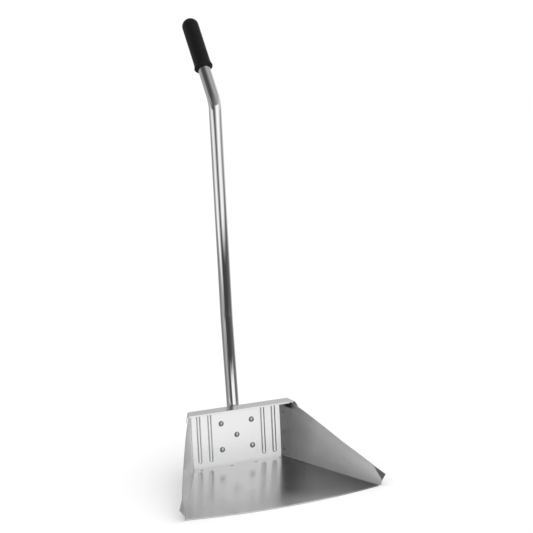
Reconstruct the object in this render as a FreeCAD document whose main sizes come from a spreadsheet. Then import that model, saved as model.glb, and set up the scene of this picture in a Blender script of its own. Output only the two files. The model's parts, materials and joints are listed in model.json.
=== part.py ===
import FreeCAD, Part
import os
import re
import Sketcher

# Long-handled metal dustpan, sizes in millimetres.
# Row frame: X to the right, the mouth of the pan faces -Y, Z up from the ground.
# The origin is the middle of the foot of the back plate, on the ground.
# Everything fixed to the back plate is drawn in the plate frame: X as above, Y square to
# the plate and away from the pan, Z up along the plate. tilt_to_plate turns it into the row frame.

Vector = FreeCAD.Vector
Rotation = FreeCAD.Rotation

doc = FreeCAD.newDocument("dustpan")
dims = doc.addObject("Spreadsheet::Sheet", "dims")

DIMENSIONS = [
    # pan sheet
    ("sheet_gauge", 1.0),
    ("wall_gauge_across", 1.106),
    ("fold_inner_radius", 2.0),
    ("floor_underside", 1.0),
    ("floor_top", 2.0),
    ("rear_half_width", 97.0),
    ("wall_splay", 0.4737),
    ("wall_flare", 0.0677),
    ("wall_twist", 0.000734),
    ("section_behind", 20.0),
    ("section_ahead", 262.0),
    ("section_height", 134.0),
    ("front_corner", 224.0),
    ("front_reach", 243.5),
    ("front_bow_radius", 1087.0),
    ("hem_depth", 9.0),
    ("hem_side_start", 205.0),
    ("wall_front_low", 228.2),
    ("wall_front_low_height", 2.9),
    ("ear_low_ahead", 229.3),
    ("ear_low_height", 13.5),
    ("ear_high_ahead", 206.0),
    ("ear_high_height", 35.9),
    ("ear_length", 32.9),
    ("ear_tip_along", 26.5),
    ("ear_tip_out", 11.2),
    ("ear_turn", 28.0),
    ("wall_knee_ahead", 130.0),
    ("wall_knee_height", 66.2),
    ("wall_shoulder_ahead", 40.0),
    ("wall_shoulder_height", 108.2),
    ("wall_crest_ahead", 13.0),
    ("wall_crest_height", 119.2),
    ("weld_ball", 3.0),
    ("weld_lift", 2.72),
    ("weld_floor_ahead", 11.0),
    ("weld_wall_ahead", 8.4),
    # back plate
    ("plate_lean", 6.7),
    ("plate_height", 121.0),
    ("plate_half_foot", 98.5),
    ("plate_half_top", 98.75),
    ("plate_flange_depth", 16.0),
    ("plate_flange_foot", 106.2),
    ("plate_flange_top", 107.7),
    ("plate_flange_low", 9.0),
    ("plate_flange_high", 104.0),
    ("plate_flange_chamfer", 8.0),
    ("plate_fold_radius", 1.8),
    ("foot_flange_depth", 18.0),
    ("foot_flange_half", 94.0),
    ("bead_inner_radius", 7.0),
    ("bead_depth", 1.9),
    ("bead_near", 58.4),
    ("bead_far", 82.4),
    ("bead_low", 16.2),
    ("bead_high", 108.7),
    # top rail
    ("rail_underside", 119.3),
    ("rail_back", 14.5),
    ("rail_ahead", 10.4),
    ("rail_left_back", 104.4),
    ("rail_left_front", 115.2),
    ("rail_left_spread", 1.8),
    ("rail_left_across", 1.03),
    ("rail_right_back", 116.7),
    ("rail_right_front", 122.1),
    ("rail_right_spread", 8.5),
    ("rail_right_across", 1.22),
    ("rail_hook_bottom", 107.3),
    ("rail_bend_radius", 4.0),
    ("rail_lip_bottom", 117.0),
    ("rail_lip_inset", 4.6),
    ("rail_tab_bottom", 112.4),
    ("rail_tab_half", 93.0),
    # fasteners, plate frame
    ("fixing_height", 60.6),
    ("fixing_half_width", 33.4),
    ("fixing_half_height", 27.0),
    ("head_radius", 5.75),
    ("head_rim", 0.6),
    ("head_dome", 2.0),
    ("rivet_radius", 2.5),
    ("tail_radius", 4.0),
    ("tail_rim", 0.5),
    ("tail_dome", 1.5),
    ("bolt_radius", 3.0),
    ("bolt_length", 35.4),
    ("washer_radius", 6.5),
    ("washer_thickness", 1.2),
    ("washer_seat", 27.2),
    ("nut_corner_radius", 5.77),
    ("nut_height", 5.0),
    # handle bracket, plate frame
    ("bracket_gauge", 1.5),
    ("bracket_half_width", 45.0),
    ("bracket_low", 22.0),
    ("bracket_length", 77.0),
    ("bracket_corner_radius", 9.0),
    ("bracket_saddle_radius", 14.0),
    # handle tube, plate frame
    ("tube_radius", 12.5),
    ("tube_wall", 1.0),
    ("tube_axis_back", 13.5),
    ("tube_foot", 18.0),
    ("run_plate", 92.0),
    ("run_lower", 158.0),
    ("run_upper", 413.0),
    ("run_grip", 158.8),
    ("heading_lower", 2.9),
    ("heading_upper", 0.4),
    ("heading_grip", 35.6),
    ("bend_soft_radius", 400.0),
    ("bend_top_radius", 50.0),
    # hand grip
    ("grip_engagement", 92.0),
    ("grip_radius", 17.0),
    ("grip_straight", 105.8),
    ("grip_rim_tube", 3.0),
    ("grip_rim_centre", 16.2),
    ("grip_flare_length", 14.0),
]

# Where the grip's mouth meets the tube, followed along the tube from its foot.
DERIVED = [
    ("mouth_run", "run_grip - grip_engagement"),
    (
        "mouth_back",
        "tube_axis_back + bend_soft_radius * (1 - cos(heading_lower)) + run_lower * sin(heading_lower)"
        " + bend_soft_radius * (cos(heading_upper) - cos(heading_lower)) + run_upper * sin(heading_upper)"
        " + bend_top_radius * (cos(heading_upper) - cos(heading_grip)) + mouth_run * sin(heading_grip)",
    ),
    (
        "mouth_up",
        "tube_foot + run_plate + bend_soft_radius * sin(heading_lower) + run_lower * cos(heading_lower)"
        " + bend_soft_radius * (sin(heading_lower) - sin(heading_upper)) + run_upper * cos(heading_upper)"
        " + bend_top_radius * (sin(heading_grip) - sin(heading_upper)) + mouth_run * cos(heading_grip)",
    ),
]

for row, (alias, value) in enumerate(DIMENSIONS, start=1):
    dims.set(f"A{row}", alias)
    dims.set(f"B{row}", str(value))
    dims.setAlias(f"B{row}", alias)
for row, (alias, formula) in enumerate(DERIVED, start=len(DIMENSIONS) + 1):
    dims.set(f"A{row}", alias)
    dims.set(f"B{row}", "=" + formula)
    dims.setAlias(f"B{row}", alias)
doc.recompute()

DIMENSION_NAME = re.compile(r"\b(" + "|".join(name for name, _ in DIMENSIONS + DERIVED) + r")\b")


def bound(formula):
    """Turn a formula over bare dimension names into one that reads the sheet."""
    return DIMENSION_NAME.sub(r"dims.\1", formula)


def number(formula):
    """Value of a formula over the sheet's dimensions."""
    value = dims.evalExpression(formula)
    return float(getattr(value, "Value", value))


def bind(obj, path, formula):
    obj.setExpression(path, bound(formula))


def part(kind, name, sizes, at=("0", "0", "0"), axis=Vector(0, 0, 1), angle=0.0):
    """One Part primitive with its sizes and position bound to the sheet."""
    obj = doc.addObject(kind, name)
    obj.Placement = FreeCAD.Placement(Vector(), Rotation(axis, angle))
    for size, formula in sizes.items():
        bind(obj, size, formula)
    for letter, formula in zip("xyz", at):
        bind(obj, f"Placement.Base.{letter}", formula)
    return obj


def cylinder(name, radius, height, at, axis=Vector(0, 0, 1), angle=0.0):
    return part("Part::Cylinder", name, {"Radius": radius, "Height": height}, at, axis, angle)


def through(name, radius, height, at):
    """Cylinder that runs along +Y from its position."""
    return cylinder(name, radius, height, at, Vector(1, 0, 0), -90.0)


def box(name, low, size):
    return part("Part::Box", name, dict(zip(("Length", "Width", "Height"), size)), low)


def ball(name, radius, at, turn=0.0):
    """Sphere whose seam line faces +X, or turned about Z from there."""
    return part("Part::Sphere", name, {"Radius": radius}, at, Vector(0, 0, 1), turn)


def fuse(name, shapes):
    obj = doc.addObject("Part::MultiFuse", name)
    obj.Shapes = shapes
    obj.Refine = True
    return obj


def cut(name, base, tool):
    obj = doc.addObject("Part::Cut", name)
    obj.Base = base
    obj.Tool = tool
    obj.Refine = True
    return obj


def tilt_to_plate(obj):
    """Turn an object drawn in the plate frame into the row frame."""
    obj.Placement = FreeCAD.Placement(Vector(), Rotation(Vector(-1, 0, 0), number("plate_lean")))
    bind(obj, "Placement.Rotation.Angle", "plate_lean * 1 deg")
    return obj


def new_body(name):
    return doc.addObject("PartDesign::Body", name)


def new_sketch(body, name, role, lift="0"):
    sketch = body.newObject("Sketcher::SketchObject", name)
    plane = next(item for item in body.Origin.OriginFeatures if item.Role == role)
    sketch.AttachmentSupport = [(plane, "")]
    sketch.MapMode = "FlatFace"
    bind(sketch, "AttachmentOffset.Base.z", lift)
    return sketch


def pin_point(sketch, edge, end, label, across, up):
    """Fix one sketch point by two bound coordinates."""
    for kind, suffix, formula in (("DistanceX", "across", across), ("DistanceY", "up", up)):
        index = sketch.addConstraint(Sketcher.Constraint(kind, edge, end, number(formula)))
        sketch.renameConstraint(index, f"{label}_{suffix}")
        bind(sketch, f"Constraints.{label}_{suffix}", formula)


def add_polygon(sketch, label, corners):
    """Closed polygon whose corners are pairs of formulas."""
    points = [Vector(number(across), number(up), 0) for across, up in corners]
    edges = []
    for start, end in zip(points, points[1:] + points[:1]):
        edges.append(sketch.addGeometry(Part.LineSegment(start, end), False))
    for before, after in zip(edges, edges[1:] + edges[:1]):
        sketch.addConstraint(Sketcher.Constraint("Coincident", before, 2, after, 1))
    for place, (edge, (across, up)) in enumerate(zip(edges, corners)):
        pin_point(sketch, edge, 1, f"{label}{place}", across, up)


def add_circle(sketch, label, across, up, radius):
    centre = Vector(number(across), number(up), 0)
    edge = sketch.addGeometry(Part.Circle(centre, Vector(0, 0, 1), number(radius)), False)
    pin_point(sketch, edge, 3, label, across, up)
    index = sketch.addConstraint(Sketcher.Constraint("Radius", edge, number(radius)))
    sketch.renameConstraint(index, f"{label}_radius")
    bind(sketch, f"Constraints.{label}_radius", radius)


def mirrored(half):
    """Complete a profile that is given for +X only, from the middle outwards and back."""
    return half + [("-1 * ( " + across + " )", up) for across, up in reversed(half)]


def ruled_loft(body, name, first, second):
    loft = body.newObject("PartDesign::AdditiveLoft", name)
    loft.Profile = first
    loft.Sections = [second]
    loft.Ruled = True
    doc.recompute()
    return loft


def slab(body, kind, name, sketch, length):
    """Pad or pocket of a sketch, half of its length to each side."""
    feature = body.newObject(kind, name)
    feature.Profile = sketch
    feature.SideType = "Symmetric"
    feature.Type = "Length"
    bind(feature, "Length", length)
    doc.recompute()
    return feature


def round_edges(body, name, base, chosen, radius):
    """Fillet every edge of the base feature for which chosen(edge) is true."""
    names = [f"Edge{n}" for n, edge in enumerate(base.Shape.Edges, start=1) if chosen(edge)]
    fillet = body.newObject("PartDesign::Fillet", name)
    fillet.Base = (base, names)
    bind(fillet, "Radius", radius)
    doc.recompute()
    return fillet


def keep_inside(body, name, corners, margin="400"):
    """Remove everything outside a side view outline (Y across, Z up)."""
    sketch = new_sketch(body, name + "_outline", "YZ_Plane")
    frame = [("-" + margin, "-" + margin), (margin, "-" + margin), (margin, margin), ("-" + margin, margin)]
    add_polygon(sketch, "frame", frame)
    add_polygon(sketch, "keep", corners)
    doc.recompute()
    return slab(body, "PartDesign::Pocket", name, sketch, "700")


def ends_at(edge, test):
    return all(test(vertex.Point) for vertex in edge.Vertexes)


# ---------------------------------------------------------------- pan tray

tray_body = new_body("tray_sheet")


def tray_section(name, ahead, lift):
    """Channel section of the tray: floor and both flared walls."""
    foot = f"rear_half_width + wall_splay * ( {ahead} )"
    slope = f"( wall_flare + wall_twist * ( {ahead} ) )"
    rise = "( section_height - floor_top )"
    half = [
        (foot, "floor_top"),
        (f"{foot} + {slope} * {rise}", "section_height"),
        (f"{foot} + wall_gauge_across + {slope} * {rise}", "section_height"),
        (f"{foot} + wall_gauge_across - {slope} * sheet_gauge", "floor_underside"),
    ]
    sketch = new_sketch(tray_body, name, "XZ_Plane", lift)
    add_polygon(sketch, "corner", mirrored(half))
    return sketch


tray_rear = tray_section("tray_section_rear", "-1 * section_behind", "-1 * section_behind")
tray_front = tray_section("tray_section_front", "section_ahead", "section_ahead")
tray_loft = ruled_loft(tray_body, "tray_loft", tray_rear, tray_front)


def fold_edge(height):
    """Edges that run from the back of the tray to its front at one height."""
    return lambda edge: edge.BoundBox.YLength > 200 and ends_at(
        edge, lambda p: abs(p.z - height) < 0.01
    )


tray_inner = round_edges(
    tray_body, "tray_inner_fold", tray_loft, fold_edge(number("floor_top")), "fold_inner_radius"
)
tray_outer = round_edges(
    tray_body,
    "tray_outer_fold",
    tray_inner,
    fold_edge(number("floor_underside")),
    "fold_inner_radius + sheet_gauge",
)
keep_inside(
    tray_body,
    "tray_side_trim",
    [
        ("-5 * tan(plate_lean)", "-5"),
        ("-300", "-5"),
        ("-300", "wall_front_low_height"),
        ("-wall_front_low", "wall_front_low_height"),
        ("-ear_low_ahead", "ear_low_height"),
        ("-ear_high_ahead", "ear_high_height"),
        ("-wall_knee_ahead", "wall_knee_height"),
        ("-wall_shoulder_ahead", "wall_shoulder_height"),
        ("-wall_crest_ahead", "wall_crest_height"),
        ("wall_crest_height * tan(plate_lean)", "wall_crest_height"),
    ],
)

bow_centre = ("0", "front_bow_radius - front_reach", "-2")
bow_block = box("bow_block", ("-300", "-320", "-2"), ("600", "120", "wall_front_low_height + 2"))
bow_outside = cut("bow_outside", bow_block, cylinder("bow_disc", "front_bow_radius", "10", bow_centre))

hem_body = new_body("hem_band")
hem_sketch = new_sketch(hem_body, "hem_plan", "XY_Plane", "0.5 * floor_underside")
hem_near = ("rear_half_width + wall_splay * hem_side_start", "-hem_side_start")
hem_far = ("rear_half_width + wall_splay * front_corner", "-front_corner")
add_polygon(hem_sketch, "corner", mirrored([hem_near, hem_far, (hem_far[0], "-260")]))
slab(hem_body, "PartDesign::Pad", "hem_pad", hem_sketch, "floor_underside")
hem_disc = cylinder("hem_disc", "front_bow_radius - hem_depth", "10", bow_centre)
hem_ring = cut("hem_ring", hem_body, hem_disc)


def wall_point(ahead, height):
    """Middle of the right wall's thickness at a distance ahead of the back plate, as formulas."""
    across = (
        f"rear_half_width + 0.5 * wall_gauge_across + wall_splay * {ahead}"
        f" + ( wall_flare + wall_twist * {ahead} ) * ( {height} - floor_top )"
    )
    return across, f"-{ahead}", height


def corner_ear(name, sign):
    """Triangular front corner of a wall, folded outwards about a slanting line."""
    high = wall_point("ear_high_ahead", "ear_high_height")
    low = wall_point("ear_low_ahead", "ear_low_height")
    start, stop = (Vector(*[number(formula) for formula in point]) for point in (high, low))
    fold = (stop - start).normalize()
    slope = number("wall_flare + wall_twist * ear_high_ahead")
    outward = Vector(1, number("wall_splay"), -slope).normalize()
    raised = Rotation(fold, -number("ear_turn")).multVec(fold.cross(outward)).normalize()
    fold.x *= sign
    raised.x *= sign
    body = new_body(name)
    sketch = new_sketch(body, name + "_plan", "XY_Plane")
    corners = [
        ("0", "-sheet_gauge"),
        ("ear_length", "-sheet_gauge"),
        ("ear_length", "0"),
        ("ear_tip_along", "ear_tip_out"),
        ("0", "0"),
    ]
    add_polygon(sketch, "corner", corners)
    slab(body, "PartDesign::Pad", name + "_pad", sketch, "sheet_gauge")
    body.Placement = FreeCAD.Placement(Vector(), Rotation(fold, raised, fold.cross(raised), "XYZ"))
    bind(body, "Placement.Base.x", f"{sign} * ( {high[0]} )")
    bind(body, "Placement.Base.y", high[1])
    bind(body, "Placement.Base.z", high[2])
    return body


FLOOR_WELDS = (-84.4, -19.0, 34.4, 88.4)
WALL_WELDS = (17.0, 54.0, 95.5)
weld_marks = []
for place, across in enumerate(FLOOR_WELDS):
    spot = (str(across), "-weld_floor_ahead", "floor_top + weld_lift")
    weld_marks.append(ball(f"floor_weld_{place}", "weld_ball", spot))
for place, height in enumerate(WALL_WELDS):
    back = f"( {height} * tan(plate_lean) - weld_wall_ahead )"
    inner = f"rear_half_width - wall_splay * {back}"
    flare = f"( wall_flare - wall_twist * {back} ) * ( {height} - floor_top )"
    reach = f"( {inner} + {flare} - weld_lift * 1.105 )"
    for side, sign, turn in (("right", "1", 180.0), ("left", "-1", 0.0)):
        spot = (f"{sign} * {reach}", back, str(height))
        weld_marks.append(ball(f"{side}_wall_weld_{place}", "weld_ball", spot, turn))

ears = [corner_ear("right_ear", 1), corner_ear("left_ear", -1)]
tray_whole = fuse("tray_with_hem", [tray_body, hem_ring] + ears)
tray_bowed = cut("tray_bowed", tray_whole, bow_outside)
pan_tray = cut("pan_tray", tray_bowed, fuse("weld_dimples", weld_marks))

# -------------------------------------------------------------- back plate

plate_body = new_body("plate_sheet")


def plate_section(name, corner, flange, lift):
    """Channel section of the back plate: panel and both side flanges."""
    splay = f"( {flange} - {corner} ) / plate_flange_depth"
    half = [
        (corner, "0"),
        (flange, "-plate_flange_depth"),
        (f"{flange} + wall_gauge_across", "-plate_flange_depth"),
        (f"{corner} + wall_gauge_across - {splay} * sheet_gauge", "sheet_gauge"),
    ]
    sketch = new_sketch(plate_body, name, "XY_Plane", lift)
    add_polygon(sketch, "corner", mirrored(half))
    return sketch


plate_foot = plate_section("plate_section_foot", "plate_half_foot", "plate_flange_foot", "0")
plate_head = plate_section("plate_section_head", "plate_half_top", "plate_flange_top", "plate_height")
plate_loft = ruled_loft(plate_body, "plate_loft", plate_head, plate_foot)
plate_folds = round_edges(
    plate_body,
    "plate_folds",
    plate_loft,
    lambda edge: edge.BoundBox.ZLength > 100
    and ends_at(edge, lambda p: abs(p.y - number("sheet_gauge")) < 0.01),
    "plate_fold_radius",
)
keep_inside(
    plate_body,
    "plate_side_trim",
    [
        ("-plate_fold_radius", "-plate_fold_radius * tan(plate_lean)"),
        ("plate_fold_radius", "plate_fold_radius * tan(plate_lean)"),
        ("plate_fold_radius", "( wall_crest_height - 0.3 ) / cos(plate_lean)"),
        ("-plate_fold_radius", "( wall_crest_height - 0.3 ) / cos(plate_lean)"),
        ("-plate_fold_radius", "plate_flange_high + plate_flange_chamfer"),
        ("-1 - plate_flange_depth", "plate_flange_high"),
        ("-1 - plate_flange_depth", "plate_flange_low + plate_flange_chamfer"),
        ("-plate_fold_radius", "plate_flange_low"),
    ],
)

foot_flange = new_sketch(plate_body, "foot_flange_side", "YZ_Plane")
add_polygon(
    foot_flange,
    "corner",
    [
        ("0", "0"),
        ("-foot_flange_depth * cos(plate_lean)", "-foot_flange_depth * sin(plate_lean)"),
        (
            "-foot_flange_depth * cos(plate_lean) - floor_underside * sin(plate_lean)",
            "-foot_flange_depth * sin(plate_lean) + floor_underside * cos(plate_lean)",
        ),
        (
            "sheet_gauge - floor_underside * sin(plate_lean)",
            "sheet_gauge * tan(plate_lean) + floor_underside * cos(plate_lean)",
        ),
        ("sheet_gauge", "sheet_gauge * tan(plate_lean)"),
    ],
)
slab(plate_body, "PartDesign::Pad", "foot_flange", foot_flange, "2 * foot_flange_half")

FIXINGS = [
    (f"{side} * fixing_half_width", f"fixing_height + {rise} * fixing_half_height")
    for rise in (1, -1)
    for side in (-1, 1)
]


def fixing_holes(body, name):
    """Rivet holes and the middle bolt hole, square through a plate."""
    sketch = new_sketch(body, name + "_plan", "XZ_Plane")
    for place, (across, up) in enumerate(FIXINGS):
        add_circle(sketch, f"rivet{place}", across, up, "rivet_radius")
    add_circle(sketch, "bolt", "0", "fixing_height", "bolt_radius")
    doc.recompute()
    return slab(body, "PartDesign::Pocket", name, sketch, "80")


fixing_holes(plate_body, "plate_holes")


def capsule(name, across, radius):
    """Round-ended rod along a bead, in front of the plate."""
    set_back = "bead_depth - bead_inner_radius"
    length = "bead_high - bead_low"
    return fuse(
        name,
        [
            cylinder(name + "_rod", radius, length, (across, set_back, "bead_low")),
            ball(name + "_low", radius, (across, set_back, "bead_low")),
            ball(name + "_high", radius, (across, set_back, "bead_high")),
        ],
    )


bead_skins = []
bead_hollows = []
for place, across in enumerate(("-bead_far", "-bead_near", "bead_near", "bead_far")):
    bead_skins.append(capsule(f"bead_skin_{place}", across, "bead_inner_radius + sheet_gauge"))
    bead_hollows.append(capsule(f"bead_hollow_{place}", across, "bead_inner_radius"))
front_space = box("front_space", ("-150", "-40", "-20"), ("300", "40", "180"))
bead_ridges = cut("bead_ridges", fuse("bead_skins", bead_skins), front_space)
plate_solid = fuse("plate_with_ridges", [plate_body, bead_ridges])
back_plate = tilt_to_plate(cut("back_plate", plate_solid, fuse("bead_hollows", bead_hollows)))

# ---------------------------------------------------------------- top rail

top_rail = new_body("top_rail")


def rail_section(name, place, lift):
    """Strip with both ends folded down, open below; the right flap stands open wider."""
    sketch = new_sketch(top_rail, name, "XZ_Plane", lift)
    corners = []
    for side, sign in (("right", "1"), ("left", "-1")):
        end = f"rail_{side}_{place}"
        flap = [
            (f"{sign} * ( {end} - rail_{side}_across )", "rail_underside"),
            (f"{sign} * ( {end} - rail_{side}_across + rail_{side}_spread )", "rail_hook_bottom"),
            (f"{sign} * ( {end} + rail_{side}_spread )", "rail_hook_bottom"),
            (f"{sign} * {end}", "rail_underside + sheet_gauge"),
        ]
        corners += flap if side == "right" else flap[::-1]
    add_polygon(sketch, "corner", corners)
    return sketch


rail_rear = rail_section("rail_section_rear", "back", "-rail_back")
rail_front = rail_section("rail_section_front", "front", "rail_ahead")
rail_loft = ruled_loft(top_rail, "rail_loft", rail_rear, rail_front)


def rail_corner(height):
    return lambda edge: edge.BoundBox.YLength > 20 and ends_at(
        edge, lambda p: abs(p.z - height) < 0.01
    )


rail_outer = round_edges(
    top_rail,
    "rail_outer_bend",
    rail_loft,
    rail_corner(number("rail_underside + sheet_gauge")),
    "rail_bend_radius",
)
rail_inner = round_edges(
    top_rail,
    "rail_inner_bend",
    rail_outer,
    rail_corner(number("rail_underside")),
    "rail_bend_radius - sheet_gauge",
)
lip_middle = "0.5 * ( rail_right_front - rail_left_front )"
lip = new_sketch(top_rail, "rail_lip_side", "YZ_Plane", lip_middle)
add_polygon(
    lip,
    "corner",
    [
        ("-rail_ahead", "rail_lip_bottom"),
        ("-rail_ahead", "rail_underside + 0.5 * sheet_gauge"),
        ("sheet_gauge - rail_ahead", "rail_underside + 0.5 * sheet_gauge"),
        ("sheet_gauge - rail_ahead", "rail_lip_bottom"),
    ],
)
lip_length = "rail_left_front + rail_right_front - 2 * rail_lip_inset"
slab(top_rail, "PartDesign::Pad", "rail_lip", lip, lip_length)
tab = new_sketch(top_rail, "rail_tab_side", "YZ_Plane")
add_polygon(
    tab,
    "corner",
    [
        ("rail_tab_bottom * tan(plate_lean)", "rail_tab_bottom"),
        ("rail_tab_bottom * tan(plate_lean) - sheet_gauge", "rail_tab_bottom"),
        ("rail_underside * tan(plate_lean) - sheet_gauge", "rail_underside"),
        ("rail_underside * tan(plate_lean) - sheet_gauge", "rail_underside + 0.5 * sheet_gauge"),
        ("rail_underside * tan(plate_lean)", "rail_underside + 0.5 * sheet_gauge"),
        ("rail_underside * tan(plate_lean)", "rail_underside"),
    ],
)
slab(top_rail, "PartDesign::Pad", "rail_tab", tab, "2 * rail_tab_half")

# ---------------------------------------------------------- handle bracket

wings = new_body("bracket_wings")
wing_sketch = new_sketch(wings, "wing_plan", "XZ_Plane", "-sheet_gauge - 0.5 * bracket_gauge")
add_polygon(
    wing_sketch,
    "corner",
    mirrored(
        [
            ("bracket_half_width", "bracket_low"),
            ("bracket_half_width", "bracket_low + bracket_length"),
        ]
    ),
)
wing_pad = slab(wings, "PartDesign::Pad", "wing_pad", wing_sketch, "bracket_gauge")
round_edges(
    wings,
    "wing_corners",
    wing_pad,
    lambda edge: abs(edge.Length - number("bracket_gauge")) < 0.01,
    "bracket_corner_radius",
)
saddle_foot = "tube_axis_back - sheet_gauge"
saddle_at = ("0", "tube_axis_back", "bracket_low")
saddle = fuse(
    "saddle_outside",
    [
        wings,
        box(
            "saddle_sides",
            ("-bracket_saddle_radius", "sheet_gauge", "bracket_low"),
            ("2 * bracket_saddle_radius", saddle_foot, "bracket_length"),
        ),
        cylinder("saddle_back", "bracket_saddle_radius", "bracket_length", saddle_at),
    ],
)
saddle_hollow = fuse(
    "saddle_inside",
    [
        box(
            "saddle_gap",
            ("-tube_radius", "-tube_radius", "bracket_low"),
            ("2 * tube_radius", "tube_axis_back + tube_radius", "bracket_length"),
        ),
        cylinder("saddle_bore", "tube_radius", "bracket_length", saddle_at),
        through("saddle_seat", "washer_radius + 0.2", "10", ("0", "washer_seat", "fixing_height")),
        through("saddle_bolt_hole", "bolt_radius", "40", ("0", "0", "fixing_height")),
    ]
    + [
        through(f"saddle_rivet_hole_{place}", "rivet_radius", "10", (across, "0", up))
        for place, (across, up) in enumerate(FIXINGS)
    ],
)
handle_bracket = tilt_to_plate(cut("handle_bracket", saddle, saddle_hollow))

# ------------------------------------------------------------- handle tube

tube_body = new_body("tube_sweep")
tube_path = new_sketch(tube_body, "tube_path", "YZ_Plane")

HEADINGS = ("0", "heading_lower", "heading_upper", "heading_grip")
RUNS = ("run_plate", "run_lower", "run_upper", "run_grip")
BENDS = ("bend_soft_radius", "bend_soft_radius", "bend_top_radius")


def ahead_of(heading):
    """Unit vector in the sketch for a heading measured from straight up."""
    turned = Rotation(Vector(0, 0, 1), -number(heading))
    return turned.multVec(Vector(0, 1, 0))


start = Vector(number("tube_axis_back"), number("tube_foot"), 0)
previous = None
for place, (heading, run) in enumerate(zip(HEADINGS, RUNS)):
    course = ahead_of(heading)
    if place:
        radius = number(BENDS[place - 1])
        before = ahead_of(HEADINGS[place - 1])
        right = before.cross(Vector(0, 0, 1))
        side = 1 if number(heading) > number(HEADINGS[place - 1]) else -1
        centre = start + right * (radius * side)
        outward = (start - centre).normalize()
        sweep = number(heading) - number(HEADINGS[place - 1])
        end = centre + Rotation(Vector(0, 0, 1), -sweep).multVec(outward) * radius
        middle = centre + Rotation(Vector(0, 0, 1), -sweep / 2).multVec(outward) * radius
        arc = tube_path.addGeometry(Part.Arc(start, middle, end), False)
        first, last = (2, 1) if side > 0 else (1, 2)
        tube_path.addConstraint(Sketcher.Constraint("Tangent", previous, 2, arc, first))
        index = tube_path.addConstraint(Sketcher.Constraint("Radius", arc, radius))
        tube_path.renameConstraint(index, f"bend{place}")
        bind(tube_path, f"Constraints.bend{place}", BENDS[place - 1])
        start = end
    stop = start + course * number(run)
    line = tube_path.addGeometry(Part.LineSegment(start, stop), False)
    if place:
        tube_path.addConstraint(Sketcher.Constraint("Tangent", arc, last, line, 1))
    index = tube_path.addConstraint(Sketcher.Constraint("Distance", line, number(run)))
    tube_path.renameConstraint(index, f"run{place}")
    bind(tube_path, f"Constraints.run{place}", run)
    if place:
        slant = FreeCAD.Units.Quantity(f"{90 - number(heading)} deg")
        index = tube_path.addConstraint(Sketcher.Constraint("Angle", line, slant))
        tube_path.renameConstraint(index, f"heading{place}")
        bind(tube_path, f"Constraints.heading{place}", f"90 deg - {heading} * 1 deg")
    else:
        tube_path.addConstraint(Sketcher.Constraint("Vertical", line))
        pin_point(tube_path, line, 1, "foot", "tube_axis_back", "tube_foot")
    previous = line
    start = stop

tube_ring = new_sketch(tube_body, "tube_ring", "XY_Plane", "tube_foot")
add_circle(tube_ring, "outside", "0", "tube_axis_back", "tube_radius")
add_circle(tube_ring, "inside", "0", "tube_axis_back", "tube_radius - tube_wall")
doc.recompute()
tube_sweep = tube_body.newObject("PartDesign::AdditivePipe", "tube_pipe")
tube_sweep.Profile = tube_ring
tube_sweep.Spine = (tube_path, [f"Edge{n}" for n in range(1, 2 * len(RUNS))])
doc.recompute()
tube_bolt_hole = through("tube_bolt_hole", "bolt_radius", "60", ("0", "-10", "fixing_height"))
handle_tube = tilt_to_plate(cut("handle_tube", tube_body, tube_bolt_hole))

# --------------------------------------------------------------- hand grip

grip_outside = fuse(
    "grip_outside",
    [
        cylinder("grip_barrel", "grip_radius", "grip_straight", ("0", "0", "0")),
        ball("grip_dome", "grip_radius", ("0", "0", "grip_straight")),
        part(
            "Part::Cone",
            "grip_flare",
            {
                "Radius1": "grip_rim_centre + 0.8 * grip_rim_tube",
                "Radius2": "grip_radius",
                "Height": "grip_flare_length - 2 * grip_rim_tube",
            },
            ("0", "0", "1.55 * grip_rim_tube"),
        ),
        part(
            "Part::Torus",
            "grip_rim",
            {"Radius1": "grip_rim_centre", "Radius2": "grip_rim_tube"},
            ("0", "0", "grip_rim_tube"),
        ),
    ],
)
grip_bore = cylinder("grip_bore", "tube_radius", "grip_engagement", ("0", "0", "0"))
hand_grip = cut("hand_grip", grip_outside, grip_bore)
grip_angle = number("plate_lean + heading_grip")
hand_grip.Placement = FreeCAD.Placement(Vector(), Rotation(Vector(-1, 0, 0), grip_angle))
bind(hand_grip, "Placement.Rotation.Angle", "( plate_lean + heading_grip ) * 1 deg")
bind(hand_grip, "Placement.Base.y", "mouth_back * cos(plate_lean) + mouth_up * sin(plate_lean)")
bind(hand_grip, "Placement.Base.z", "mouth_up * cos(plate_lean) - mouth_back * sin(plate_lean)")

# --------------------------------------------------------------- fasteners


def domed_disc(name, edge_radius, rim, dome, seat, outward, across, up):
    """Disc with a straight rim and a domed face, lying against the depth named by seat."""
    ball_radius = f"( {edge_radius} * {edge_radius} + {dome} * {dome} ) / ( 2 * {dome} )"
    latitude = f"asin( 1 - {dome} / ( {ball_radius} ) )"
    low = seat if outward > 0 else f"{seat} - {rim}"
    edge = f"{seat} + ( {outward} ) * {rim}"
    centre = f"{edge} - ( {outward} ) * ( {ball_radius} - {dome} )"
    return [
        through(name + "_rim", edge_radius, rim, (across, low, up)),
        part(
            "Part::Sphere",
            name + "_dome",
            {"Radius": ball_radius, "Angle1": latitude},
            (across, centre, up),
            Vector(1, 0, 0),
            -90.0 * outward,
        ),
    ]


def domed_head(name, across, up):
    """Domed head that rests on the front of the plate."""
    return domed_disc(name + "_head", "head_radius", "head_rim", "head_dome", "0", -1, across, up)


rivets = []
for place, (across, up) in enumerate(FIXINGS):
    name = f"rivet_{place}"
    behind = "sheet_gauge + bracket_gauge"
    shank = through(name + "_shank", "rivet_radius", behind, (across, "0", up))
    tail = domed_disc(name + "_tail", "tail_radius", "tail_rim", "tail_dome", behind, 1, across, up)
    rivets.append(fuse(name, domed_head(name, across, up) + [shank] + tail))
plate_rivets = doc.addObject("Part::Compound", "plate_rivets")
plate_rivets.Links = rivets
tilt_to_plate(plate_rivets)

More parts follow.
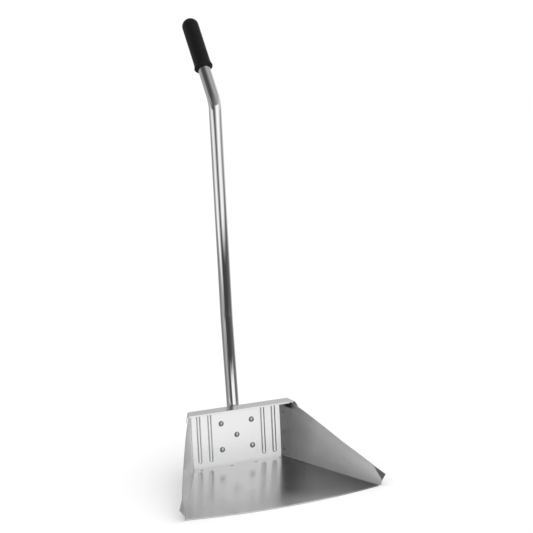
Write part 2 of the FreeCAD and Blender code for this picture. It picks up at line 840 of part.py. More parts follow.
bolt_shank = through("bolt_shank", "bolt_radius", "bolt_length", ("0", "0", "fixing_height"))
handle_bolt = tilt_to_plate(
    fuse("handle_bolt", domed_head("bolt", "0", "fixing_height") + [bolt_shank])
)

nut_seat = "washer_seat + washer_thickness"
washer_at = ("0", "washer_seat", "fixing_height")
washer_disc = through("washer_disc", "washer_radius", "washer_thickness", washer_at)
washer_hole = through("washer_hole", "bolt_radius", "20", ("0", "20", "fixing_height"))
bolt_washer = tilt_to_plate(cut("bolt_washer", washer_disc, washer_hole))
nut_block = part(
    "Part::Prism",
    "nut_block",
    {"Circumradius": "nut_corner_radius", "Height": "nut_height"},
    ("0", nut_seat, "fixing_height"),
    Vector(1, 0, 0),
    -90.0,
)
nut_hole = through("nut_hole", "bolt_radius", "20", ("0", "20", "fixing_height"))
bolt_nut = tilt_to_plate(cut("bolt_nut", nut_block, nut_hole))

# ------------------------------------------------------------------ output

NODES = [
    pan_tray,
    back_plate,
    top_rail,
    handle_bracket,
    handle_tube,
    hand_grip,
    plate_rivets,
    handle_bolt,
    bolt_washer,
    bolt_nut,
]
doc.recompute()
for item in doc.Objects:
    if "Invalid" in item.State or "Error" in item.State:
        raise RuntimeError(f"{item.Name} did not recompute: {item.State}")
for node in NODES:
    if node.Shape.isNull() or not node.Shape.isValid():
        raise RuntimeError(f"{node.Label} has no valid shape")

os.makedirs("parts", exist_ok=True)
for node in NODES:
    node.Shape.exportStep(f"parts/{node.Label}.step")
    limits = node.Shape.optimalBoundingBox(False)
    print(
        f"{node.Label}: {len(node.Shape.Solids)} solid(s), {node.Shape.Volume:.0f} mm3, "
        f"x {limits.XMin:.1f}..{limits.XMax:.1f}, y {limits.YMin:.1f}..{limits.YMax:.1f}, "
        f"z {limits.ZMin:.1f}..{limits.ZMax:.1f}"
    )
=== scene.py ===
import json
import math

import bpy
from mathutils import Matrix, Vector


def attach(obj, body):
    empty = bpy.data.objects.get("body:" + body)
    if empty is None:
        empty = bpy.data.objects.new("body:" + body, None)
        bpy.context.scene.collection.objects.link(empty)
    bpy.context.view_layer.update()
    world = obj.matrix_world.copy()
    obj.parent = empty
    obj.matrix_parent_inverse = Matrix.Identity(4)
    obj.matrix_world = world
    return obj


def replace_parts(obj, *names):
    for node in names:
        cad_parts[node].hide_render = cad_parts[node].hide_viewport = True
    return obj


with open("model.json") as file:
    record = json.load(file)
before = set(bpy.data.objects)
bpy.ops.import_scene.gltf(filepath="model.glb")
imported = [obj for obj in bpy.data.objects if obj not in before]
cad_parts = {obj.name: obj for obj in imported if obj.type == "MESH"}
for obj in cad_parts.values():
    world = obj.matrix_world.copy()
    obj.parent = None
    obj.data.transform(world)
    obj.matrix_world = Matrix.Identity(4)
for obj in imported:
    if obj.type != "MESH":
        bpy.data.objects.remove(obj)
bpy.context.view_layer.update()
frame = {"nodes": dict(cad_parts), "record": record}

MM = 0.001

# The row frame is in metres: X to the right, the mouth of the pan faces -Y, Z up from the ground,
# with the origin at the foot of the back plate. The sizes of the object below are in millimetres,
# and the plate's lean is in degrees.
LEAN = 6.7
REAR_HALF_WIDTH = 97.0
WALL_SPLAY = 0.4737
WALL_FLARE = 0.0677
WALL_TWIST = 0.000734
FLOOR_TOP = 2.0
FLOOR_WELDS = (-84.4, -19.0, 34.4, 88.4)
FLOOR_WELDS_AHEAD = 11.0
WALL_WELDS = (17.0, 54.0, 95.5)
WALL_WELDS_AHEAD = 8.4

# ------------------------------------------------------------------ materials


# Shares of open sky between which a corner's shade fades out.
OPENNESS = (0.15, 0.62)


class Nodes:
    """A node tree with short calls for making and linking its nodes."""

    def __init__(self, tree):
        self.tree = tree

    def feed(self, target, value):
        """Link an input to an output, or set it to a plain value."""
        if isinstance(value, bpy.types.NodeSocket):
            self.tree.links.new(value, target)
        else:
            target.default_value = value

    def add(self, kind, **values):
        """A new node; a capitalised name is one of its inputs, any other is a setting."""
        node = self.tree.nodes.new(kind)
        for name, value in values.items():
            if name[0].isupper():
                self.feed(node.inputs[name.replace("_", " ")], value)
            else:
                setattr(node, name, value)
        return node

    def maths(self, operation, *values):
        """The result of one operation on outputs or numbers."""
        node = self.add("ShaderNodeMath", operation=operation)
        for socket, value in zip(node.inputs, values):
            self.feed(socket, value)
        return node.outputs["Value"]

    def times(self, first, second):
        return self.maths("MULTIPLY", first, second)

    def rest_of(self, share):
        """What a share leaves of 1."""
        return self.maths("SUBTRACT", 1.0, share)

    def coordinates(self, kind="Object"):
        """Place on the object in metres, or in another kind of coordinates."""
        return self.add("ShaderNodeTexCoord").outputs[kind]

    def stretched(self, scale):
        """Place on the object with each axis scaled."""
        return self.add("ShaderNodeMapping", Vector=self.coordinates(), Scale=scale).outputs["Vector"]

    def parts(self, vector):
        """The X, Y and Z of a vector."""
        node = self.add("ShaderNodeSeparateXYZ", Vector=vector)
        return [node.outputs[axis] for axis in "XYZ"]

    def noise(self, vector, scale, detail=3.0, roughness=0.5):
        node = self.add("ShaderNodeTexNoise", Vector=vector, Scale=scale, Detail=detail, Roughness=roughness)
        return node.outputs["Fac"]

    def spread(self, value, low, high, bottom=0.0, top=1.0):
        """Map value from bottom..top to low..high."""
        source = {"Value": value, "From_Min": bottom, "From_Max": top}
        return self.add("ShaderNodeMapRange", To_Min=low, To_Max=high, **source).outputs["Result"]

    def rises(self, value, start, end):
        """0 below start, 1 above end."""
        return self.spread(value, 0.0, 1.0, start, end)

    def falls(self, value, start, end):
        """1 below start, 0 above end."""
        return self.spread(value, 1.0, 0.0, start, end)

    def eases(self, value, start, end):
        """0 below start, 1 above end, with a soft change between."""
        source = {"Value": value, "From_Min": start, "From_Max": end}
        return self.add("ShaderNodeMapRange", interpolation_type="SMOOTHSTEP", **source).outputs["Result"]

    def blend(self, share, first, second):
        """The colour first where share is 0, second where it is 1."""
        return self.add("ShaderNodeMix", data_type="RGBA", Factor=share, A=first, B=second).outputs["Result"]


class Surface(Nodes):
    """A new material with a Principled shader."""

    def __init__(self, name, **inputs):
        self.material = bpy.data.materials.new(name)
        self.material.use_nodes = True
        super().__init__(self.material.node_tree)
        self.shader = self.tree.nodes["Principled BSDF"]
        for socket, value in inputs.items():
            self.put(socket.replace("_", " "), value)

    def put(self, name, value):
        self.feed(self.shader.inputs[name], value)

    def tint(self, value, dark, light):
        """Colour between dark and light by value."""
        return self.blend(value, (*dark, 1), (*light, 1))

    def scaled(self, colour, share):
        node = self.add("ShaderNodeVectorMath", operation="SCALE", Scale=share)
        self.feed(node.inputs[0], colour)
        return node.outputs["Vector"]

    def bump(self, height, strength, distance):
        return self.add("ShaderNodeBump", Height=height, Strength=strength, Distance=distance)

    def openness(self, reach, darkest):
        """1 in the open, falling to darkest in corners and gaps narrower than reach."""
        node = self.add("ShaderNodeAmbientOcclusion", samples=8, Distance=reach)
        return self.spread(node.outputs["AO"], darkest, 1.0, *OPENNESS)

    def worn_by(self, pattern, dark, light, roughness):
        """Colour and roughness that follow one pattern."""
        self.put("Base Color", self.tint(pattern, dark, light))
        self.put("Roughness", self.spread(pattern, *roughness))


# Where the sheet is darker: painted shade on the right wall, in the rail's hook, in corners and along
# the ground, and the weld marks. Places are in metres in the row frame, a normal is its X, and each pair
# of them is where a change starts and where it ends.
# Painted shade on the right wall's inner face: darker at its back and near its foot.
WALL_INNER_NORMAL = (-0.75, -0.45)
WALL_ACROSS = (0.06, 0.09)
WALL_SHADED_ALONG = (-0.075, -0.012)
WALL_SHADED_SHARE = (0.15, 0.8)
WALL_TOP_SLOPE = 0.44
WALL_TOP_AT_PLATE = 0.125
WALL_LIGHT_LEVELS = (0.32, 0.88)
WALL_FOOT_LIGHT_LEVEL = 0.35
# Painted shade in the open hook at the right end of the top rail.
RAIL_END_NORMAL = (-0.5, -0.2)
RAIL_END_ACROSS = (0.1035, 0.1045)
RAIL_END_ALONG = (-0.024, -0.012)
RAIL_END_HEIGHT = (0.1065, 0.1075)
RAIL_END_DARKENING = 0.88
CORNER_REACH = 0.012
CORNER_DARKEST = 0.12
# Corners get painted shade only above the first pair of heights, and the painted contact shadow is below the
# second.
HEM_HEIGHT = (0.003, 0.006)
CONTACT_SHADOW_HEIGHT = (0.0006, 0.0011)
CONTACT_SHADOW_DARKEST = 0.15
WELD_RADIUS = 0.0017
WELD_SOFT_RADIUS = 1.6 * WELD_RADIUS
WELD_DARKEST = 0.25
EDGE_RADIUS = 0.0005


def facing_across(n):
    """X of the surface's own normal."""
    return n.parts(n.add("ShaderNodeNewGeometry").outputs["True Normal"])[0]


def right_wall_painted_shade(n):
    """Painted shade on the right wall's inner face, darker at its back and foot: the share of brightness
    left.
    """
    across, along, up = n.parts(n.coordinates())
    inner_face = n.times(n.falls(facing_across(n), *WALL_INNER_NORMAL), n.rises(across, *WALL_ACROSS))
    wall_top = n.maths("ADD", n.times(along, WALL_TOP_SLOPE), WALL_TOP_AT_PLATE)
    ahead = n.falls(along, *WALL_SHADED_ALONG)
    high = n.spread(n.maths("DIVIDE", up, wall_top), WALL_FOOT_LIGHT_LEVEL, 1.0, *WALL_SHADED_SHARE)
    lit_share = n.spread(n.times(ahead, high), *WALL_LIGHT_LEVELS)
    return n.rest_of(n.times(n.rest_of(lit_share), inner_face))


def rail_end_painted_shade(n):
    """Painted shade in the open hook at the right end of the top rail: the share of brightness left."""
    across, along, up = n.parts(n.coordinates())
    behind = n.times(n.rises(up, *RAIL_END_HEIGHT), n.rises(along, *RAIL_END_ALONG))
    hook = n.times(behind, n.rises(across, *RAIL_END_ACROSS))
    turned_in = n.falls(facing_across(n), *RAIL_END_NORMAL)
    return n.rest_of(n.times(hook, n.times(turned_in, RAIL_END_DARKENING)))


def weld_spots():
    """Spot welds that hold the back plate's flanges: along the floor and up both walls."""
    spots = [(across * MM, -FLOOR_WELDS_AHEAD * MM, FLOOR_TOP * MM) for across in FLOOR_WELDS]
    for height in WALL_WELDS:
        back = height * math.tan(math.radians(LEAN)) - WALL_WELDS_AHEAD
        flare = (WALL_FLARE - WALL_TWIST * back) * (height - FLOOR_TOP)
        across = REAR_HALF_WIDTH - WALL_SPLAY * back + flare
        spots += [(side * across * MM, back * MM, height * MM) for side in (-1, 1)]
    return spots


def weld_marks(n):
    """Share of shine at the spot welds: small dark round marks."""
    place = n.coordinates()
    nearest = 1.0
    for spot in weld_spots():
        node = n.add("ShaderNodeVectorMath", operation="DISTANCE")
        n.feed(node.inputs[0], place)
        n.feed(node.inputs[1], spot)
        nearest = n.maths("MINIMUM", node.outputs["Value"], nearest)
    return n.spread(nearest, WELD_DARKEST, 1.0, WELD_RADIUS, WELD_SOFT_RADIUS)


def corner_shade(n):
    """Painted shade: darker in corners and gaps, with a painted contact shadow where the hem meets the
    ground.
    """
    height = n.parts(n.coordinates())[2]
    open_share = n.maths("MAXIMUM", n.openness(CORNER_REACH, CORNER_DARKEST), n.falls(height, *HEM_HEIGHT))
    return n.times(open_share, n.spread(height, CONTACT_SHADOW_DARKEST, 1.0, *CONTACT_SHADOW_HEIGHT))


# How much of the sheet's patches comes from its grain; smears make up the rest.
GRAIN_SHARE = 0.4


def sheet_steel():
    """Satin stainless sheet: fine rolling grain, soft waviness, faint smears, weld marks and painted shade.
    """
    n = Surface("pan_steel", Metallic=1.0)
    grain = n.noise(n.stretched((6.0, 60.0, 60.0)), scale=30.0, detail=4.0, roughness=0.6)
    smear = n.noise(n.coordinates(), scale=9.0)
    wave = n.noise(n.coordinates(), scale=5.0, detail=1.0, roughness=0.4)
    mixed = n.maths("ADD", n.times(grain, GRAIN_SHARE), n.times(smear, 1 - GRAIN_SHARE))
    patches = n.rises(mixed, 0.3, 0.7)
    metal = n.tint(patches, dark=(0.75, 0.75, 0.755), light=(0.81, 0.81, 0.815))
    # Painted shade on the right wall and in the rail's hook, then the weld marks, then painted shade in
    # corners and a painted contact shadow along the ground.
    shaded_metal = n.scaled(metal, n.times(right_wall_painted_shade(n), rail_end_painted_shade(n)))
    n.put("Base Color", n.scaled(n.scaled(shaded_metal, weld_marks(n)), corner_shade(n)))
    n.put("Roughness", n.spread(patches, 0.18, 0.27))
    fine = n.bump(grain, strength=0.05, distance=0.0004)
    n.feed(fine.inputs["Normal"], n.add("ShaderNodeBevel", samples=6, Radius=EDGE_RADIUS).outputs["Normal"])
    wavy = n.bump(wave, strength=0.12, distance=0.004)
    n.feed(wavy.inputs["Normal"], fine.outputs["Normal"])
    n.put("Normal", wavy.outputs["Normal"])
    return n.material


def tube_chrome():
    n = Surface("tube_chrome", Metallic=1.0)
    haze = n.noise(n.stretched((20.0, 20.0, 3.0)), scale=12.0)
    n.worn_by(haze, dark=(0.78, 0.78, 0.79), light=(0.84, 0.84, 0.85), roughness=(0.02, 0.06))
    n.put("Normal", n.bump(haze, strength=0.02, distance=0.0005).outputs["Normal"])
    return n.material


def bracket_steel():
    n = Surface("bracket_steel", Metallic=1.0)
    mottle = n.noise(n.coordinates(), scale=60.0, detail=4.0, roughness=0.6)
    n.worn_by(mottle, dark=(0.42, 0.42, 0.43), light=(0.56, 0.56, 0.57), roughness=(0.32, 0.48))
    n.put("Normal", n.bump(mottle, strength=0.1, distance=0.0003).outputs["Normal"])
    return n.material


def rivet_steel():
    n = Surface("rivet_steel", Metallic=1.0)
    mottle = n.noise(n.coordinates(), scale=220.0, roughness=0.6)
    n.worn_by(mottle, dark=(0.56, 0.56, 0.57), light=(0.66, 0.66, 0.67), roughness=(0.04, 0.09))
    n.put("Normal", n.bump(mottle, strength=0.08, distance=0.0002).outputs["Normal"])
    return n.material


def grip_rubber():
    n = Surface("grip_rubber", Specular_IOR_Level=0.3)
    mottle = n.noise(n.coordinates(), scale=40.0, detail=4.0, roughness=0.6)
    grain = n.noise(n.coordinates(), scale=900.0, detail=2.0)
    n.worn_by(mottle, dark=(0.004, 0.004, 0.0045), light=(0.009, 0.009, 0.0095), roughness=(0.42, 0.58))
    n.put("Normal", n.bump(grain, strength=0.25, distance=0.0003).outputs["Normal"])
    return n.material


MATERIALS = {
    "pan_steel": sheet_steel(),
    "tube_chrome": tube_chrome(),
    "bracket_steel": bracket_steel(),
    "rivet_steel": rivet_steel(),
    "grip_rubber": grip_rubber(),
}
SLOTS = {row["node"]: row["material_slot"] for row in frame["record"]["subparts"]}
for name, node in frame["nodes"].items():
    for slot in node.material_slots:
        slot.material = MATERIALS[SLOTS[name]]

# --------------------------------------------------------------- smooth skins


def show(name, mesh, material):
    """An object of the scene with one material."""
    mesh.materials.append(material)
    piece = bpy.data.objects.new(name, mesh)
    bpy.context.scene.collection.objects.link(piece)
    return piece


def smooth_piece(name, skins, slot):
    """One object with a smooth skin over each stack of rings; a skin's ends stay open."""
    points = []
    faces = []
    for rings in skins:
        count = len(rings[0])
        for ring, further in zip(rings, rings[1:]):
            low = len(points)
            high = low + count
            points += ring
            for step in range(count):
                beside = (step + 1) % count
                faces.append((low + step, low + beside, high + beside, high + step))
        points += rings[-1]
    mesh = bpy.data.meshes.new(name)
    mesh.from_pydata(points, [], faces)
    mesh.shade_smooth()
    piece = show(name, mesh, MATERIALS[slot])
    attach(piece, "root")
    return piece


def leaned(point):
    """From the back plate's upright frame, in mm, to where the tilted plate stands, in metres."""
    return Matrix.Rotation(math.radians(-LEAN), 3, "X") @ Vector(point) * MM


# --------------------------------------------------------------- tube and grip

TUBE_START = Vector((0, 13.5, 18.0))
TUBE_RADIUS = 12.5
TUBE_WALL = 1.0
TUBE_SIDES = 72
# The tube's straight runs, the heading of each in degrees from the plate's upright, and the radii
# of the bends between them.
RUNS = (92.0, 158.0, 413.0, 158.8)
HEADINGS = (0.0, 2.9, 0.4, 35.6)
BENDS = (400.0, 400.0, 50.0)
RUN_STEPS = 12
BEND_STEPS_LEAST = 4
BEND_STEPS_PER_DEGREE = 1.5
LIP = 0.25
BORE_SHOWN = 85.0

GRIP_MOUTH_BACK = 92.0
GRIP_LENGTH = 105.8
GRIP_RADIUS = 17.0
GRIP_SIDES = 96
GRIP_STEPS = 30
GRIP_END_STEPS = 14
# The grip's moulded rim as (distance from its mouth, radius): from inside the mouth to the plain length.
GRIP_RIM = [
    (3.0, 12.4), (0.6, 12.8), (0.15, 13.6), (0.0, 15.2), (0.35, 17.2), (1.3, 18.5), (3.0, 19.15),
    (4.6, 18.7), (5.6, 18.0), (6.6, 17.6), (8.2, 17.75), (10.0, 17.45), (14.0, 17.05),
]
# A round end closes to a ring of this radius, and a shank starts this far behind the plate's face.
PINCH = 0.001


def heading(degrees):
    """Unit step along the tube for a heading in the back plate's own frame."""
    angle = math.radians(degrees)
    return Vector((0, math.sin(angle), math.cos(angle)))


def tube_path():
    """Centre line of the tube as (point, heading) pairs, standing upright in the plate's frame."""
    point = TUBE_START.copy()
    path = [(point.copy(), HEADINGS[0])]
    for place, run in enumerate(RUNS):
        for _ in range(RUN_STEPS):
            point += heading(HEADINGS[place]) * (run / RUN_STEPS)
            path.append((point.copy(), HEADINGS[place]))
        if place < len(BENDS):
            turn = HEADINGS[place + 1] - HEADINGS[place]
            steps = max(BEND_STEPS_LEAST, int(abs(turn) * BEND_STEPS_PER_DEGREE))
            arc = BENDS[place] * math.radians(abs(turn)) / steps
            for step in range(steps):
                middle = HEADINGS[place] + turn * (step + 0.5) / steps
                point += heading(middle) * arc
                path.append((point.copy(), HEADINGS[place] + turn * (step + 1) / steps))
    return path


def ring_at(point, degrees, radius, count):
    """A circle square to the heading, as points in metres."""
    across = Vector((1, 0, 0))
    behind = heading(degrees).cross(across)
    ring = []
    for step in range(count):
        angle = math.tau * step / count
        offset = across * math.cos(angle) + behind * math.sin(angle)
        ring.append(leaned(point + offset * radius))
    return ring


def tube_rings(path):
    """From some way up the bore, round the rim at the lower end and up the outside."""
    inner = TUBE_RADIUS - TUBE_WALL
    start, turn = path[0]
    rim = [
        (BORE_SHOWN, inner), (LIP, inner), (0.0, inner + LIP),
        (0.0, TUBE_RADIUS - LIP), (LIP, TUBE_RADIUS),
    ]
    rings = [ring_at(start + heading(turn) * depth, turn, radius, TUBE_SIDES) for depth, radius in rim]
    return rings + [ring_at(point, turn, TUBE_RADIUS, TUBE_SIDES) for point, turn in path[1:]]


def grip_outline():
    """(distance from the mouth, radius) along the grip: rim, plain length and round end."""
    rim_end = GRIP_RIM[-1][0]
    outline = list(GRIP_RIM)
    for step in range(1, GRIP_STEPS + 1):
        outline.append((rim_end + (GRIP_LENGTH - rim_end) * step / GRIP_STEPS, GRIP_RADIUS))
    for step in range(1, GRIP_END_STEPS + 1):
        angle = math.radians(90 * step / GRIP_END_STEPS)
        outline.append((GRIP_LENGTH + GRIP_RADIUS * math.sin(angle), GRIP_RADIUS * math.cos(angle) + PINCH))
    return outline


def grip_rings(path):
    end, turn = path[-1]
    rings = []
    for along, radius in grip_outline():
        centre = end + heading(turn) * (along - GRIP_MOUTH_BACK)
        rings.append(ring_at(centre, turn, radius, GRIP_SIDES))
    return rings


PATH = tube_path()
tube = smooth_piece("tube_skin", [tube_rings(PATH)], "tube_chrome")
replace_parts(tube, "handle_tube")
grip = smooth_piece("grip_skin", [grip_rings(PATH)], "grip_rubber")
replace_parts(grip, "hand_grip")

# ------------------------------------------------------------------- fasteners

FIXING_HEIGHT = 60.6
FIXING_SIDES = 48
HEAD_RISE = 2.6
HEAD_RADIUS = 5.75
DOME_STEPS = 9
DOME_POWER = 1.5
RIVET_ACROSS = 33.4
RIVET_UP = 27.0
RIVET_RADIUS = 2.5
RIVET_DEPTH = 2.5
TAIL_RISE = 2.0
TAIL_RADIUS = 4.0
BOLT_RADIUS = 3.0
BOLT_LENGTH = 35.4
THREAD_START = 26.0
THREAD_END = 34.8
THREAD_PITCH = 1.0
THREAD_ROOT = 2.6
# One turn of the thread as (share of its pitch, radius).
THREAD_FORM = ((0.0, THREAD_ROOT), (0.35, BOLT_RADIUS), (0.5, BOLT_RADIUS), (0.85, THREAD_ROOT))
POINT_LENGTH = 0.3
POINT_SHOULDER = 2.5
POINT_RADIUS = 2.0


def turned_rings(centre, outline):
    """Rings of an outline of (distance behind the plate's face, radius) round a fixing's axis."""
    rings = []
    for back, radius in outline:
        ring = []
        for step in range(FIXING_SIDES):
            angle = math.tau * step / FIXING_SIDES
            across, up = radius * math.cos(angle), radius * math.sin(angle)
            ring.append(leaned((centre[0] + across, back, centre[1] + up)))
        rings.append(ring)
    return rings[::-1]


def dome(face, rise, radius):
    """Outline of a round head from its crown to its rim; rise is negative towards the front."""
    shares = [step / DOME_STEPS for step in range(DOME_STEPS + 1)]
    return [(face + rise * (1 - share ** DOME_POWER), radius * share + PINCH) for share in shares]


def threaded():
    """Outline of the bolt's thread, drawn as rings."""
    outline = []
    for turn in range(int((THREAD_END - THREAD_START) / THREAD_PITCH)):
        back = THREAD_START + turn * THREAD_PITCH
        outline += [(back + share * THREAD_PITCH, radius) for share, radius in THREAD_FORM]
    return outline


def rivet_outline():
    shank = [(PINCH, RIVET_RADIUS), (RIVET_DEPTH, RIVET_RADIUS)]
    return dome(0.0, -HEAD_RISE, HEAD_RADIUS) + shank + dome(RIVET_DEPTH, TAIL_RISE, TAIL_RADIUS)[::-1]


def bolt_outline():
    shank = [(PINCH, BOLT_RADIUS), (THREAD_START, BOLT_RADIUS)]
    point = [(BOLT_LENGTH - POINT_LENGTH, POINT_SHOULDER), (BOLT_LENGTH, POINT_RADIUS), (BOLT_LENGTH, PINCH)]
    return dome(0.0, -HEAD_RISE, HEAD_RADIUS) + shank + threaded() + point


def turned_piece(name, centres, outline, slot):
    """One object with a turned copy of the outline at each centre."""
    return smooth_piece(name, [turned_rings(centre, outline) for centre in centres], slot)


RIVET_PLACES = [
    (side * RIVET_ACROSS, FIXING_HEIGHT + row * RIVET_UP)
    for side in (-1, 1)
    for row in (-1, 1)
]
BOLT_PLACE = (0.0, FIXING_HEIGHT)
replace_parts(turned_piece("rivet_set", RIVET_PLACES, rivet_outline(), "rivet_steel"), "plate_rivets")
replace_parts(turned_piece("bolt_turned", [BOLT_PLACE], bolt_outline(), "rivet_steel"), "handle_bolt")

# ----------------------------------------------------------------------- floor

FLOOR_REACH = 30
FLOOR_SHADE_REACH = 0.010
FLOOR_DARKEST = 0.45


def floor_material():
    """Matt white paper, with painted shadow in the gap under the pan."""
    n = Surface("studio_floor", Roughness=0.9, Specular_IOR_Level=0.0)
    soft = n.noise(n.coordinates(), scale=3.0, detail=2.0)
    paper = n.tint(soft, dark=(0.93, 0.93, 0.93), light=(0.95, 0.95, 0.95))
    n.put("Base Color", n.scaled(paper, n.openness(FLOOR_SHADE_REACH, FLOOR_DARKEST)))
    return n.material


corners = [(x * FLOOR_REACH, y * FLOOR_REACH, 0) for x, y in ((-1, -1), (1, -1), (1, 1), (-1, 1))]
floor_mesh = bpy.data.meshes.new("floor")
floor_mesh.from_pydata(corners, [], [(0, 1, 2, 3)])
floor = show("floor", floor_mesh, floor_material())
floor.visible_glossy = False

# ----------------------------------------------------------------------- light

# What the polished metal mirrors, by compass angle in degrees: 0 is straight ahead of the pan's
# mouth, positive towards +X. It stands on a drum round the object. Each row is (angle, near the
# floor, at table height, over that, higher still, overhead): a pale floor, a dark gap above it,
# soft white panels over that at the front and on both sides, and one dark stand at front left.
SURROUND = [
    (-180, 0.42, 0.30, 0.52, 0.52, 0.50),
    (-165, 0.42, 0.33, 0.46, 0.46, 0.50),
    (-140, 0.30, 0.36, 0.55, 0.40, 0.50),
    (-125, 0.20, 0.40, 0.65, 0.36, 0.30),
    (-100, 0.42, 1.00, 1.00, 0.34, 0.13),
    (-78, 0.50, 1.20, 1.02, 0.16, 0.10),
    (-58, 0.20, 0.52, 0.45, 0.10, 0.15),
    (-40, 0.05, 0.05, 0.07, 0.12, 0.20),
    (-22, 0.25, 0.07, 0.50, 0.42, 0.24),
    (-4, 0.45, 0.06, 1.15, 1.05, 0.34),
    (14, 0.90, 0.07, 1.10, 1.20, 0.45),
    (34, 0.35, 0.10, 1.05, 1.15, 0.55),
    (56, 0.16, 0.12, 0.40, 0.85, 0.62),
    (80, 0.16, 0.18, 0.30, 0.60, 0.66),
    (119, 0.66, 0.90, 0.75, 0.78, 0.50),
    (150, 0.60, 0.60, 0.62, 0.62, 0.40),
    (180, 0.42, 0.30, 0.52, 0.52, 0.50),
]
FLOOR_GLOW, GAP, PANEL, HIGH, OVERHEAD = 1, 2, 3, 4, 5
BRIGHTEST = 1.4

# The drum, in metres. Each pair is the height where one column of the table gives way to the next.
DRUM_RADIUS = 2.0
DRUM_BOTTOM = -2.0
DRUM_TOP = 1.6
DRUM_FACETS = 96
TO_GAP = (0.08, 0.24)
TO_PANEL = (0.38, 0.56)
TO_HIGH = (0.66, 0.88)

# The low white card in front of the pan, in metres and degrees.
CARD_LEVEL = 1.15
CARD_RADIUS = 0.9
CARD_FROM = -24
CARD_TO = 40
CARD_SOFT_END = 10
CARD_BOTTOM = -0.6
CARD_TOP = 0.23
CARD_SOFT_TOP = 0.08

WHITE_LEVEL = 1.08


def turn_share(degrees):
    """Share of a whole turn, 0 at -180 degrees to 1 at 180."""
    return (degrees + 180) / 360


def compass_share(n, across, along):
    """turn_share of the compass angle at a place."""
    angle = n.maths("DEGREES", n.maths("ARCTAN2", across, n.times(along, -1.0)))
    return n.maths("DIVIDE", n.maths("ADD", angle, 180.0), 360.0)


def ramp(n, share, column):
    """Brightness in one column of SURROUND by compass share, as a colour."""
    node = n.add("ShaderNodeValToRGB", Fac=share)
    node.color_ramp.interpolation = "EASE"
    elements = node.color_ramp.elements
    while len(elements) < len(SURROUND):
        elements.new(0.5)
    for element, row in zip(elements, SURROUND):
        level = row[column] / BRIGHTEST
        element.position = turn_share(row[0])
        element.color = (level, level, level, 1)
    return node.outputs["Color"]


def glowing(name):
    """A new empty material, its nodes and the input of its surface."""
    material = bpy.data.materials.new(name)
    material.use_nodes = True
    n = Nodes(material.node_tree)
    n.tree.nodes.clear()
    return material, n, n.add("ShaderNodeOutputMaterial").inputs["Surface"]


def drum_material():
    material, n, surface = glowing("studio_surround")
    across, along, height = n.parts(n.coordinates())
    share = compass_share(n, across, along)
    low = n.blend(n.eases(height, *TO_GAP), ramp(n, share, FLOOR_GLOW), ramp(n, share, GAP))
    middle = n.blend(n.eases(height, *TO_PANEL), low, ramp(n, share, PANEL))
    whole = n.blend(n.eases(height, *TO_HIGH), middle, ramp(n, share, HIGH))
    n.feed(surface, n.add("ShaderNodeEmission", Color=whole, Strength=BRIGHTEST).outputs["Emission"])
    return material


def card_material():
    """One brightness that fades out along the card's top and at both its ends."""
    material, n, surface = glowing("front_card")
    across, along, height = n.parts(n.coordinates())
    share = compass_share(n, across, along)
    left = n.eases(share, turn_share(CARD_FROM), turn_share(CARD_FROM + CARD_SOFT_END))
    right = n.rest_of(n.eases(share, turn_share(CARD_TO - CARD_SOFT_END), turn_share(CARD_TO)))
    below = n.rest_of(n.eases(height, CARD_TOP - CARD_SOFT_TOP, CARD_TOP))
    mixed = n.add("ShaderNodeMixShader")
    glow = n.add("ShaderNodeEmission", Color=(CARD_LEVEL, CARD_LEVEL, CARD_LEVEL, 1))
    n.feed(mixed.inputs[0], n.times(n.times(left, right), below))
    n.feed(mixed.inputs[1], n.add("ShaderNodeBsdfTransparent").outputs["BSDF"])
    n.feed(mixed.inputs[2], glow.outputs["Emission"])
    n.feed(surface, mixed.outputs["Shader"])
    return material


def reflected_only(name, radius, start, end, bottom, top, material):
    """Part of a drum round the object, from one compass angle to another, seen only in reflections."""
    facet = (end - start) / DRUM_FACETS
    angles = [math.radians(start + facet * step) for step in range(DRUM_FACETS + 1)]
    circle = [(radius * math.sin(angle), -radius * math.cos(angle)) for angle in angles]
    points = [(across, along, height) for height in (bottom, top) for across, along in circle]
    row = len(circle)
    faces = [(step, step + 1, row + step + 1, row + step) for step in range(DRUM_FACETS)]
    mesh = bpy.data.meshes.new(name)
    mesh.from_pydata(points, [], faces)
    piece = show(name, mesh, material)
    piece.visible_camera = False
    piece.visible_diffuse = False
    piece.visible_transmission = False
    piece.visible_shadow = False


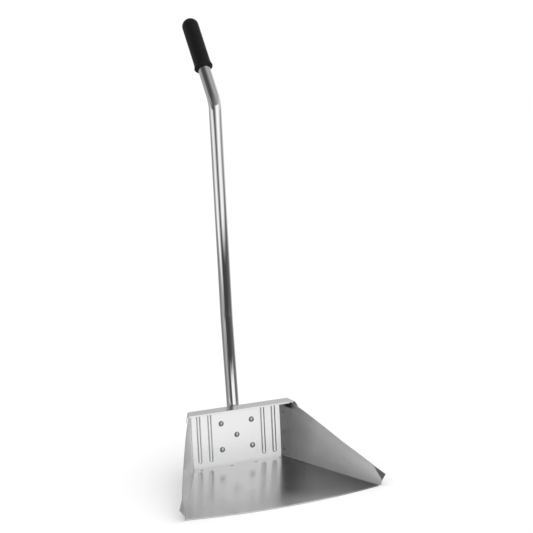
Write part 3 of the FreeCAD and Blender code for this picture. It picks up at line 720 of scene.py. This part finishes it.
def studio_world():
    """Plain white to the eye and to matt surfaces, a graded ceiling to polished metal."""
    world = bpy.data.worlds.new("studio")
    world.use_nodes = True
    n = Nodes(world.node_tree)
    across, along, _ = n.parts(n.coordinates("Generated"))
    ceiling = ramp(n, compass_share(n, across, along), OVERHEAD)
    glossy = n.add("ShaderNodeLightPath").outputs["Is Glossy Ray"]
    white = (WHITE_LEVEL, WHITE_LEVEL, WHITE_LEVEL, 1)
    n.feed(n.tree.nodes["Background"].inputs["Color"], n.blend(glossy, white, ceiling))
    return world


reflected_only("surround", DRUM_RADIUS, -180, 180, DRUM_BOTTOM, DRUM_TOP, drum_material())
reflected_only("front_card", CARD_RADIUS, CARD_FROM, CARD_TO, CARD_BOTTOM, CARD_TOP, card_material())
bpy.context.scene.world = studio_world()
bpy.context.scene.view_settings.view_transform = "Standard"

KEY_PLACE = Vector((-0.6, -0.4, 2.6))
KEY_SIZE = 1.8
KEY_POWER = 4

key_data = bpy.data.lights.new("key", "AREA")
key_data.shape = "SQUARE"
key_data.size = KEY_SIZE
key_data.energy = KEY_POWER
key = bpy.data.objects.new("key", key_data)
key.location = KEY_PLACE
key.rotation_mode = "QUATERNION"
key.rotation_quaternion = (-KEY_PLACE).to_track_quat("-Z", "Y")
key.visible_glossy = False
bpy.context.scene.collection.objects.link(key)

# --------------------------------------------------------------------- camera

LENS = 101.3
SENSOR_WIDTH = 36.0
FARTHEST = 100.0
CAMERA_PLACE = (-1.1336, -2.6439, 1.1314)
YAW = math.radians(24.35)
PITCH = math.radians(14.0)

camera_data = bpy.data.cameras.new("camera")
camera_data.sensor_width = SENSOR_WIDTH
camera_data.lens = LENS
camera_data.clip_end = FARTHEST
camera = bpy.data.objects.new("camera", camera_data)
bpy.context.scene.collection.objects.link(camera)
camera.location = CAMERA_PLACE
camera.rotation_mode = "QUATERNION"
look = Vector((math.sin(YAW) * math.cos(PITCH), math.cos(YAW) * math.cos(PITCH), -math.sin(PITCH)))
camera.rotation_quaternion = look.to_track_quat("-Z", "Y")
bpy.context.scene.camera = camera
